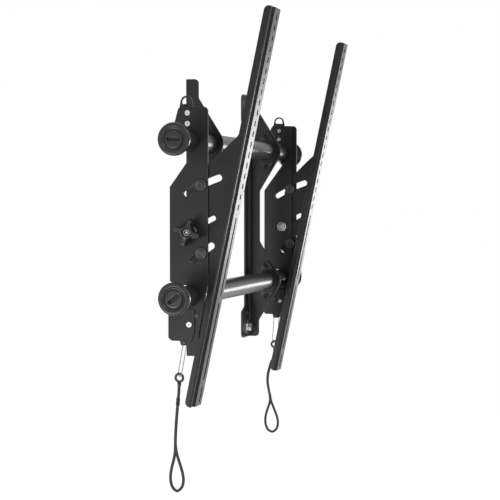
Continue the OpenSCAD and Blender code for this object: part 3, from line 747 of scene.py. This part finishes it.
    @staticmethod
    def arc(radius: float, height: float, size: float, first: float, last: float) -> list[Span]:
        """Points of an outline's rounding.

        Args:
            radius: Radius at the rounding's centre.
            height: Height at the rounding's centre.
            size: The rounding's own radius.
            first: Angle of its first point in degrees, 0 outwards and 90 up.
            last: Angle of its last point.

        Returns:
            Radius and height of each point.
        """
        count = 8
        turns = [math.radians(first + (last - first) * i / count) for i in range(count + 1)]
        return [(radius + size * math.cos(a), height + size * math.sin(a)) for a in turns]


@dataclass
class Camera:
    """The photograph's point of view: place in metres, heading and dip in degrees, lens in pixels."""

    place: Point = (-2.618, -0.829, 0.026)
    heading: float = 16.3
    dip: float = 1.92
    focal_px: float = 1371.0
    frame_px: float = 500.0
    sensor_mm: float = 36.0
    sight: float = 60.0

    def make(self) -> None:
        """Makes the camera and looks through it."""
        data = bpy.data.cameras.new("camera")
        data.sensor_width = self.sensor_mm
        data.lens = self.focal_px / self.frame_px * self.sensor_mm
        data.clip_end = self.sight
        camera = stand("camera", data)
        turn, dip = math.radians(self.heading), math.radians(self.dip)
        aim = Vector((math.cos(turn) * math.cos(dip), math.sin(turn) * math.cos(dip), -math.sin(dip)))
        camera.location = self.place
        camera.rotation_euler = aim.to_track_quat("-Z", "Y").to_euler()
        bpy.context.scene.camera = camera


@dataclass(frozen=True)
class Lamp:
    """One soft rectangular lamp, pointed at the middle of the mount."""

    name: str
    place: Point
    size: Span
    power: float

    def make(self) -> None:
        """Makes the lamp."""
        data = bpy.data.lights.new(self.name, "AREA")
        data.shape = "RECTANGLE"
        data.size, data.size_y = self.size
        data.energy = self.power
        lamp = stand(self.name, data)
        lamp.location = self.place
        lamp.visible_camera = False
        lamp.rotation_euler = (-Vector(self.place)).to_track_quat("-Z", "Y").to_euler()


@dataclass
class Studio:
    """White room, pale floor and soft lamps."""

    floor_z: float = -1.7
    floor_reach: float = 9.0
    floor_tone: float = 0.86
    floor_glow: float = 0.86
    ambient: float = 0.2
    lamps: tuple[Lamp, ...] = (
        Lamp("key", (-2.2, -2.4, 2.4), (1.2, 1.2), 21.0),
        Lamp("rail_box", (6.0, -2.15, -0.56), (1.5, 1.0), 46.0),
        Lamp("plate_box", (-3.2, 1.4, -1.3), (1.6, 1.0), 38.0),
        Lamp("tube_box", (-0.6, -3.0, -0.9), (1.6, 0.4), 7.0),
    )

    def make(self) -> None:
        """Makes the floor, the world and the lamps."""
        bpy.context.scene.view_settings.view_transform = "Standard"
        self.floor()
        self.world()
        for lamp in self.lamps:
            lamp.make()
            log.info("made lamp %s", lamp.name)

    def floor(self) -> None:
        """A pale floor that keeps shadows, and glows white to the camera and in mirrored rays."""
        mesh = bpy.data.meshes.new("floor")
        reach = self.floor_reach
        corners = [(-reach, -reach), (reach, -reach), (reach, reach), (-reach, reach)]
        mesh.from_pydata([(x, y, self.floor_z) for x, y in corners], [], [(0, 1, 2, 3)])
        floor = stand("floor", mesh)
        s = Shader("floor")
        rays = s.add("LightPath").outputs
        seen = s.larger(rays["Is Camera Ray"], rays["Is Glossy Ray"])
        glow = s.add("Emission", {"Color": WHITE, "Strength": self.floor_glow}).outputs[0]
        tone = (self.floor_tone, self.floor_tone, self.floor_tone, 1.0)
        matt = s.add("BsdfDiffuse", {"Color": tone}).outputs[0]
        both = s.add("AddShader", {0: glow, 1: matt}).outputs[0]
        pick = s.add("MixShader", {0: seen, 1: matt, 2: both}).outputs[0]
        s.tree.links.new(pick, s.output.inputs["Surface"])
        mesh.materials.append(s.material)

    def world(self) -> None:
        """White to the camera and in mirrored rays, and a soft grey light on the object."""
        world = bpy.data.worlds.new("room")
        bpy.context.scene.world = world
        world.use_nodes = True
        nodes = Nodes(world.node_tree)
        rays = nodes.add("LightPath").outputs
        direct = nodes.larger(rays["Is Camera Ray"], rays["Is Transmission Ray"])
        white = nodes.larger(direct, rays["Is Glossy Ray"])
        back = nodes.tree.nodes["Background"]
        back.inputs["Color"].default_value = WHITE
        nodes.tree.links.new(nodes.ramp(white, 0.0, 1.0, self.ambient, 1.0), back.inputs["Strength"])


@dataclass
class PullCord:
    """Braided cord that hangs from the eye, turns round in a hand loop and is bound to itself.

    The route gives Y and Z in millimetres, and the distance in millimetres out of the hanger's middle layer.
    """

    side: Side
    route: Sequence[Point]
    layer_mid: float = 0.311
    diameter: float = 0.0054
    step: float = 0.00045
    yarns: int = 12
    yarn_pitch: float = 0.0017
    relief: float = 0.00028
    sides: int = 48
    end_points: int = 6
    end_share: float = 0.25
    thread: float = 0.0008
    thread_pitch: float = 1.04
    thread_sides: int = 8
    turns: int = 15
    turn_points: int = 40
    binding_top: float = -0.3215
    eye_gap: float = 0.0001
    crown_share: float = 0.8
    neck_points: int = 22
    neck_swell: float = 0.0011
    neck_skin: float = 0.0001
    neck_sides: int = 32
    path_stride: int = 6

    def start(self) -> Vector:
        """The point just under the eye where the cord begins."""
        low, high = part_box(f"cord_eye_{self.side.word}")
        return Vector((self.side.value * self.layer_mid, (low[1] + high[1]) / 2, low[2] - self.eye_gap))

    def knots(self) -> list[Vector]:
        """The route's points in metres, from the eye on."""
        sign, knots = self.side.value, [self.start()]
        for y, z, out in self.route[1:]:
            knots.append(Vector((sign * (self.layer_mid + sign * out / 1000), y / 1000, z / 1000)))
        return knots

    def line(self) -> list[Vector]:
        """The centreline, as a smooth curve through the route's points.

        Returns:
            Points about one step apart.
        """
        p = self.knots()
        fine = []
        for i in range(len(p) - 1):
            a, b, c, d = p[max(i - 1, 0)], p[i], p[i + 1], p[min(i + 2, len(p) - 1)]
            count = max(2, round((c - b).length / self.step))
            for k in range(count):
                t = k / count
                bend = (2 * a - 5 * b + 4 * c - d) * t**2 + (3 * b - a - 3 * c + d) * t**3
                fine.append(0.5 * (2 * b + (c - a) * t + bend))
        return [*fine, p[-1]]

    def relief_at(self, ring: int, side: int) -> float:
        """Height of the braid: crossing yarns that pass over and under each other.

        Args:
            ring: Number of the path point.
            side: Number of the point on its ring.

        Returns:
            The height from 0 to 1.
        """
        u = side / self.sides * self.yarns
        v = ring * self.step / self.yarn_pitch
        a, b = u + v, u - v
        over = (math.floor(a) + math.floor(b)) % 2 == 0
        across, down = (a, b) if over else (b, a)
        round_yarn = math.sqrt(max(0.0, 1 - (2 * (across % 1) - 1) ** 2))
        crown = math.sqrt(max(0.0, 1 - (self.crown_share * (2 * (down % 1) - 1)) ** 2))
        return round_yarn * crown

    def binding(self, line: Sequence[Vector]) -> list[Vector]:
        """The path of the thread that is wound round both strands at the top of the hand loop.

        Args:
            line: The cord's centreline.

        Returns:
            Points of the thread's centreline, from the top turn down.
        """
        half = len(line) // 2
        down, back = line[:half], line[half:]
        reach = self.diameter / 2 + self.thread / 2
        path = []
        for i in range(self.turns * self.turn_points + 1):
            z = self.binding_top - self.thread * self.thread_pitch * i / self.turn_points
            one = min(down, key=lambda q: abs(q.z - z))
            two = min(back, key=lambda q: abs(q.z - z))
            across = Vector((two.x - one.x, two.y - one.y, 0))
            gap, across = across.length / 2, across.normalized()
            out = Vector((-across.y, across.x, 0))
            run = (i % self.turn_points) / self.turn_points * (4 * gap + math.tau * reach)
            middle = Vector(((one.x + two.x) / 2, (one.y + two.y) / 2, z))
            path.append(middle + self.stadium(run, gap, reach, across, out))
        return path

    @staticmethod
    def stadium(run: float, gap: float, reach: float, across: Vector, out: Vector) -> Vector:
        """A point on a loop round two strands.

        Args:
            run: Distance along the loop.
            gap: Half of the distance between the strands.
            reach: Radius of the loop's two round ends.
            across: Direction from one strand to the other.
            out: Direction square to it.

        Returns:
            The point, from the middle between the strands.
        """
        arc = math.pi * reach
        for turn in (1, -1):
            if run <= arc:
                angle = -math.pi / 2 + run / reach
                return turn * (across * (gap + reach * math.cos(angle)) + out * reach * math.sin(angle))
            run -= arc
            if run <= 2 * gap:
                return turn * (across * (gap - run) + out * reach)
            run -= 2 * gap
        return across * gap - out * reach

    def make(self, paint: Paint) -> None:
        """Makes the cord, its neck under the eye and the binding of its hand loop.

        Args:
            paint: Gives the finishes.
        """
        word = self.side.word
        body = f"latch_{word}"
        line = self.line()
        radius = self.diameter / 2
        radii = [radius] * len(line)
        for i in range(self.end_points):
            swell = self.end_share + (1 - self.end_share) * i / self.end_points
            radii[-1 - i] = radius * math.sin(math.pi / 2 * swell)
        mesh = Skin.tube(f"pull_cord_{word}", line, radii, self.sides, self.relief_at, self.relief)
        cord = paint.piece(f"braided_cord_{word}", mesh, BraidedCord(), body, "cord")
        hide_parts(f"pull_cord_{word}")
        thread = self.binding(line)
        mesh = Skin.tube(f"binding_{word}", thread, [self.thread / 2] * len(thread), self.thread_sides)
        bound = paint.piece(f"loop_binding_{word}", mesh, THREAD, body, "cord")
        last = self.neck_points - 1
        swell = [radius + self.neck_swell * (1 - i / last) ** 1.5 + self.neck_skin for i in range(last + 1)]
        mesh = Skin.tube(f"neck_{word}", line[:last + 1], swell, self.neck_sides)
        paint.piece(f"cord_neck_{word}", mesh, EYE_BLACK, body, "cord")


LEFT_ROUTE: tuple[Point, ...] = (
    (-22.9, -290, 0), (-22.4, -300, 0), (-21.6, -312, 0), (-20.4, -326, 0), (-19, -342, 0), (-17.6, -358, 0),
    (-16.4, -374, 0), (-15.6, -390, 0), (-15.4, -404, 0), (-17, -417, 0), (-20.6, -430, 0), (-25, -443, 0),
    (-28.6, -456, 0.6), (-29.8, -469, 1.4), (-26.6, -481, 2), (-18, -488.4, 2.4), (-9.6, -483.6, 2.8),
    (-5.2, -472.5, 3.2), (-4.8, -459.5, 3.6), (-7, -446, 4.2), (-10.4, -432.5, 4.8), (-12.6, -419, 5.4),
    (-13, -404, 5.6), (-13.4, -389, 5.6), (-14.2, -374, 5.6), (-15.4, -358, 5.6), (-16.8, -342, 5.6),
    (-18.2, -328, 5.6), (-19, -318, 5.6),
)
RIGHT_ROUTE: tuple[Point, ...] = (
    (-30.2, -290, 0), (-29.6, -299, 0), (-27, -311, 0), (-22, -326, 0), (-17.2, -341, 0), (-14, -356, 0),
    (-13.6, -371, 0), (-16, -386, 0), (-19, -400, 0), (-22, -413, 0), (-26.6, -425, 0), (-31.4, -437, 0),
    (-35.4, -449, 0.6), (-36.8, -461, 1.4), (-33.6, -473, 2), (-24.4, -480.6, 2.4), (-14, -476.6, 2.8),
    (-8.2, -465.5, 3.2), (-7.2, -452.5, 3.6), (-9.4, -439, 4.2), (-13.8, -425.5, 4.8), (-17.4, -412.5, 5.4),
    (-16.6, -399, 5.6), (-13.8, -385, 5.6), (-11.6, -371, 5.6), (-12, -355, 5.6), (-15.4, -340, 5.6),
    (-20, -327, 5.6), (-23.6, -318, 5.6),
)


@dataclass
class EndCap:
    """Moulded cap on the end of a tube: a broad round rim, a dished face and a coin slot."""

    node: str
    slot_turn: float
    rim: float = 0.029
    thickness: float = 0.0096
    foot_round: float = 0.002
    rim_round: float = 0.0042
    plug: float = 0.0215
    plug_length: float = 0.004
    dish_share: float = 0.72
    disc_share: float = 0.57
    dish_depth: float = 0.0026
    disc_height: float = 0.0008
    coin_width: float = 0.0056
    coin_length: float = 0.024
    coin_depth: float = 0.0034
    sides: int = 160

    PLUG_EDGE: ClassVar[Profile] = ((-0.0008, 0.0), (0.0, 0.0008))
    DISH_TOP: ClassVar[Profile] = ((0.0015, 0.0), (0.0006, -0.0001), (0.0, -0.0005), (-0.0008, -0.0014))
    DISH_FOOT: ClassVar[Profile] = ((-0.0016, 0.0003), (-0.0024, 0.0))
    DISC_GROOVE: ClassVar[Profile] = ((0.0012, 0.0), (0.0009, -0.0001), (0.0006, -0.0006), (0.0002, -0.0006),
                                      (-0.0001, 0.0))
    DISC_EDGE: ClassVar[Profile] = ((-0.0004, -0.0002), (-0.0008, 0.0))
    SLOT_LIP: ClassVar[Profile] = ((0.0006, 0.0), (0.0003, 0.0001), (0.0001, 0.0003), (0.0, 0.0006),
                                   (-0.0001, 0.0028))
    SLOT_FLOOR: ClassVar[float] = -0.0004
    FACE_SHARES: ClassVar[tuple[float, ...]] = (0.25, 0.5, 0.75)
    FLOOR_SHARES: ClassVar[tuple[float, ...]] = (0.6, 0.25)

    def slot_edge(self, angle: float, grow: float) -> float:
        """Distance from the axis to the edge of the coin slot.

        Args:
            angle: Angle about the axis.
            grow: How far outside the slot the edge is taken.

        Returns:
            The distance.
        """
        half = self.coin_width / 2 + grow
        straight = (self.coin_length - self.coin_width) / 2
        c, s = abs(math.cos(angle - self.slot_turn)), abs(math.sin(angle - self.slot_turn))
        if s > 1e-9 and half / s * c <= straight:
            return half / s
        return straight * c + math.sqrt(max(0.0, half**2 - (straight * s) ** 2))

    def rings(self) -> list[Ring]:
        """The cap's rings.

        Returns:
            Rings from the plug over the rim and the dish to the middle of the slot's floor.
        """
        rim, top = self.rim, self.thickness
        dish, disc, low = rim * self.dish_share, rim * self.disc_share, top - self.dish_depth
        face = low + self.disc_height
        outline = [
            *Skin.steps(self.plug, -self.plug_length, self.PLUG_EDGE), (self.plug, 0.0),
            *Skin.arc(rim - self.foot_round, self.foot_round, self.foot_round, -90, 0),
            *Skin.arc(rim - self.rim_round, top - self.rim_round, self.rim_round, 0, 90),
            *Skin.steps(dish, top, self.DISH_TOP), *Skin.steps(dish, low, self.DISH_FOOT),
            *Skin.steps(disc, low, self.DISC_GROOVE), *Skin.steps(disc, face, self.DISC_EDGE),
        ]
        rings = Skin.even(outline)
        last, lip = outline[-1][0], self.SLOT_LIP[0][0]
        for share in self.FACE_SHARES:
            rings.append((lambda angle, f=share: last * (1 - f) + self.slot_edge(angle, lip) * f, face))
        for grow, drop in (*self.SLOT_LIP, (self.SLOT_FLOOR, self.coin_depth)):
            rings.append((lambda angle, g=grow: self.slot_edge(angle, g), face - drop))
        for share in self.FLOOR_SHARES:
            rings.append((lambda angle, f=share: self.slot_edge(angle, self.SLOT_FLOOR) * f,
                          face - self.coin_depth))
        return rings

    def make(self, paint: Paint) -> None:
        """Makes the cap in the place of its CAD node.

        Args:
            paint: Gives the finish.
        """
        low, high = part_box(self.node)
        outward = 1.0 if low[0] > 0 else -1.0
        face = high[0] if outward > 0 else low[0]
        centre = Vector((face - outward * self.thickness, (low[1] + high[1]) / 2, (low[2] + high[2]) / 2))
        mesh = Skin.turned(self.node, centre, outward, self.rings(), self.sides)
        name = self.node.replace("end_cap", "moulded_cap")
        piece = paint.piece(name, mesh, CAP_BLACK, "wall_frame", "cap_plastic")
        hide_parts(self.node)


@dataclass
class StarKnob:
    """Star knob with four arms, soft edges, and a recess with a metal insert and a black ring that is partly
    the nut's nylon lock ring and partly painted shade in the gap round the bolt.
    """

    side: Side
    reach: float = 0.024
    hollow: float = 0.0135
    arm_turn: float = 17.0
    blur: float = 0.9
    height: float = 0.020
    neck_radius: float = 0.010
    neck_height: float = 0.007
    neck_fillet: float = 0.001
    edge_rise: float = 0.003
    edge_drop: float = 0.004
    crown_inset: float = 0.0018
    crown_height: float = 0.0028
    crown_drop: float = 0.0036
    crown_steps: int = 6
    hub_width: float = 0.0014
    tuck: float = 0.0002
    recess: float = 0.0076
    recess_depth: float = 0.0052
    floor_share: float = 0.6
    floor_dip: float = 0.0003
    ring_inner: float = 0.0028
    ring_outer: float = 0.0046
    ring_lift: float = 0.00005
    ring_sides: int = 64
    sides: int = 288

    NECK_FOOT: ClassVar[Profile] = ((-0.0008, 0.0), (0.0, 0.0008))
    ARM_FOOT: ClassVar[Profile] = ((0.0016, 0.0), (0.0009, 0.0003), (0.0003, 0.0011))
    SIDE_SHARES: ClassVar[tuple[float, ...]] = (0.2, 0.4, 0.6, 0.8)
    HUB_SLOPE: ClassVar[Profile] = ((0.35, 0.0010), (0.7, 0.0009), (0.95, 0.0006))
    HUB_EDGE: ClassVar[Profile] = ((-0.0004, -0.0002), (-0.0007, 0.0))
    RECESS_LIP: ClassVar[Profile] = ((0.0005, 0.0), (0.0002, -0.0002), (0.0, -0.0006))
    RING_INSIDE: ClassVar[Profile] = ((0.0, 0.0001), (0.0003, 0.0006))
    RING_OUTSIDE: ClassVar[Profile] = ((-0.0004, 0.0006), (0.0, 0.0002))

    def outline(self, angle: float) -> float:
        """Distance from the axis to the side of the star, averaged over nearby angles to soften its tips.

        Args:
            angle: Angle about the axis.

        Returns:
            The distance.
        """
        total = 0.0
        spread = (-2.0, -1.0, 0.0, 1.0, 2.0)
        for shift in spread:
            turned = math.degrees(angle) - self.arm_turn - 45 + shift * self.blur
            off = math.radians((turned + 45) % 90 - 45)
            across = self.reach * math.sin(off)
            if abs(across) < self.hollow:
                total += self.reach * math.cos(off) - math.sqrt(self.hollow**2 - across**2)
            else:
                total += self.reach
        return total / len(spread)

    def slope(self, angle: float, share: float) -> float:
        """Radius of a ring on the top face between the star's edge and the hub.

        Args:
            angle: Angle about the axis.
            share: 0 at the star's edge and 1 at the hub.

        Returns:
            The radius, which stays at the edge where the star is narrower than the hub.
        """
        edge, hub = self.outline(angle) - self.crown_inset, self.recess + self.hub_width
        return edge * (1 - share) + hub * share if edge > hub else edge - self.tuck * share

    def rings(self) -> list[Ring]:
        """The knob's rings.

        Returns:
            Rings from the foot of its neck up to its top face and down to the floor of its recess.
        """
        low, top = self.neck_height, self.neck_height + self.height
        hub = self.recess + self.hub_width
        neck = Skin.steps(self.neck_radius, 0.0, self.NECK_FOOT)
        rings = Skin.even([*neck, (self.neck_radius, low - self.neck_fillet)])
        for inset, rise in (*self.ARM_FOOT, (0.0, self.edge_rise)):
            rings.append((lambda a, i=inset: self.outline(a) - i, low + rise))
        side_height = self.height - self.edge_rise - self.edge_drop
        for share in self.SIDE_SHARES:
            rings.append((self.outline, low + self.edge_rise + side_height * share))
        for i in range(self.crown_steps + 1):
            turn = math.pi / 2 * i / self.crown_steps
            inset, rise = self.crown_inset * (1 - math.cos(turn)), self.crown_height * math.sin(turn)
            rings.append((lambda a, i=inset: self.outline(a) - i, top - self.crown_drop + rise))
        for share, drop in self.HUB_SLOPE:
            rings.append((lambda a, f=share: self.slope(a, f), top - drop))
        floor = top - self.recess_depth
        bowl = [
            *Skin.steps(hub, top, self.HUB_EDGE), *Skin.steps(self.recess, top, self.RECESS_LIP),
            (self.recess, floor), (self.recess * self.floor_share, floor - self.floor_dip),
        ]
        return [*rings, *Skin.even(bowl)]

    def lock_ring(self, paint: Paint, centre: Vector) -> None:
        """Makes the black ring on the insert: partly the nylon ring that locks the bolt's thread, partly
        painted shade in the gap round the bolt end.

        Args:
            paint: Gives the finish.
            centre: Point on the axis at the knob's foot.
        """
        word = self.side.word
        low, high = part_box(f"knob_insert_{word}")
        face = abs((high[0] if self.side is Side.RIGHT else low[0]) - centre.x)
        inner, outer, foot = self.ring_inner, self.ring_outer, face + self.ring_lift
        profile = [*Skin.steps(inner, face, self.RING_INSIDE), *Skin.steps(outer, face, self.RING_OUTSIDE),
                   (outer, foot), (inner, foot)]
        mesh = Skin.hoop(f"lock_ring_{word}", centre, self.side.value, profile, self.ring_sides)
        # A dark piece that stands partly for the shaded gap round the bolt end.
        paint.piece(f"lock_ring_{word}", mesh, MouldedPlastic("nylon_and_shade_black"), f"knob_{word}", "knob_plastic")

    def make(self, paint: Paint) -> None:
        """Makes the knob in the place of its CAD node.

        Args:
            paint: Gives the finishes.
        """
        word = self.side.word
        node = f"tension_knob_{word}"
        low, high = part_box(node)
        foot = low[0] if self.side is Side.RIGHT else high[0]
        centre = Vector((foot, (low[1] + high[1]) / 2, (low[2] + high[2]) / 2))
        mesh = Skin.turned(node, centre, self.side.value, self.rings(), self.sides)
        self.lock_ring(paint, centre)
        piece = paint.piece(f"star_knob_{word}", mesh, KNOB_BLACK, f"knob_{word}", "knob_plastic")
        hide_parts(node)


@dataclass
class WallFrame:
    """Two wall brackets, their collars and screws, and the two tubes with their caps.

    The turns of the coin slots are in degrees: left upper, left lower, right upper, right lower.
    """

    slot_turns: tuple[float, ...] = (2.0, -38.0, 65.0, 110.0)

    def make(self, paint: Paint) -> None:
        """Dresses the frame and makes its caps.

        Args:
            paint: Gives the finishes.
        """
        paint.dress(TubeCoat(), "tube_upper", "tube_lower")
        for side in Side:
            word = side.word
            paint.dress(PowderCoat("bracket_coat"), f"wall_bracket_{word}")
            paint.dress(MouldedPlastic("collar_black"), f"collar_upper_{word}", f"collar_lower_{word}")
            paint.dress(SCREW_BLACK, f"collar_screws_{word}")
            paint.dress(ZincPlate(), f"anchor_bolts_{word}")
        ends = [(level, side) for side in Side for level in ("upper", "lower")]
        for turn, (level, side) in zip(self.slot_turns, ends):
            EndCap(f"end_cap_{level}_{side.word}", math.radians(turn)).make(paint)


@dataclass
class HangerSide:
    """One hanger with its rail, pins, bolt, knob and latch."""

    side: Side

    def make(self, paint: Paint) -> None:
        """Dresses the side and makes its knob.

        Args:
            paint: Gives the finishes.
        """
        wear: tuple[tuple[Finish, tuple[str, ...]], ...] = (
            (HANGER_COAT, ("hanger", "guide_plate", "latch")),
            (RAIL_COAT, ("tilt_rail",)),
            (TurnedBlack(), ("tilt_pin_upper", "tilt_pin_lower", "hanger_rivet")),
            (TurnedBlack(), ("latch_guide_pin", "pull_pin")),
            (BOLT_STEEL, ("tension_bolt",)),
            (INSERT_STEEL, ("knob_insert",)),
            (ZincPlate(), ("knob_washer", "spacer_rivets", "latch_rivet")),
            (WIRE_STEEL, ("pull_wire", "latch_spring")),
            (EYE_BLACK, ("cord_eye",)),
        )
        for finish, kinds in wear:
            paint.dress(finish, *(f"{kind}_{self.side.word}" for kind in kinds))
        StarKnob(self.side).make(paint)


def main() -> None:
    """Builds the scene and reports each piece."""
    logging.basicConfig(level=logging.INFO, format="%(message)s")
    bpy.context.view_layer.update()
    Camera().make()
    paint = Paint()
    for side, route in ((Side.LEFT, LEFT_ROUTE), (Side.RIGHT, RIGHT_ROUTE)):
        PullCord(side, route).make(paint)
    Studio().make()
    WallFrame().make(paint)
    for side in Side:
        HangerSide(side).make(paint)


if __name__ == "__main__":
    main()
